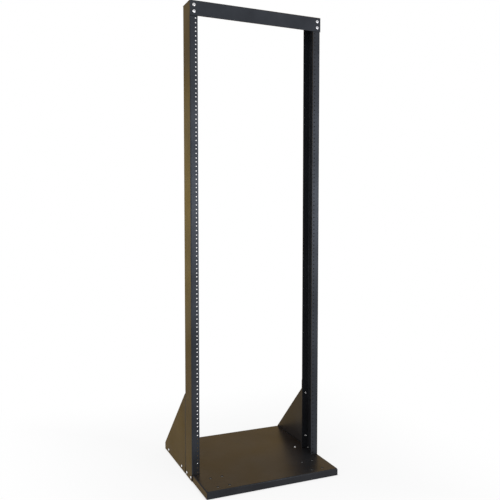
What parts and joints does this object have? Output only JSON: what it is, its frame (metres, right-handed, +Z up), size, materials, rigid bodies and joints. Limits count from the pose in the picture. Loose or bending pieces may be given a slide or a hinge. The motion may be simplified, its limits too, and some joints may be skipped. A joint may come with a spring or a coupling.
{
  "type": "two post open frame rack",
  "caption": "Black steel open frame rack with two channel posts on a folded base, braced behind by triangular gussets.",
  "frame": {"origin": "on the floor, under the middle of the box round the whole rack, which is also the middle of the base", "axes": "+X to the right across the rack seen from its front, +Y from front to back, +Z up along the posts"},
  "size_m": [0.508, 0.502, 1.6784],
  "materials": {
    "frame_paint": "satin",
    "base_paint": "satin",
    "zinc": "satin"
  },
  "bodies": {
    "root": {"base_pan": "base_paint", "left_post": "frame_paint", "right_post": "frame_paint", "top_beam": "frame_paint", "left_gusset": "frame_paint", "right_gusset": "frame_paint"}
  },
  "joints": []
}
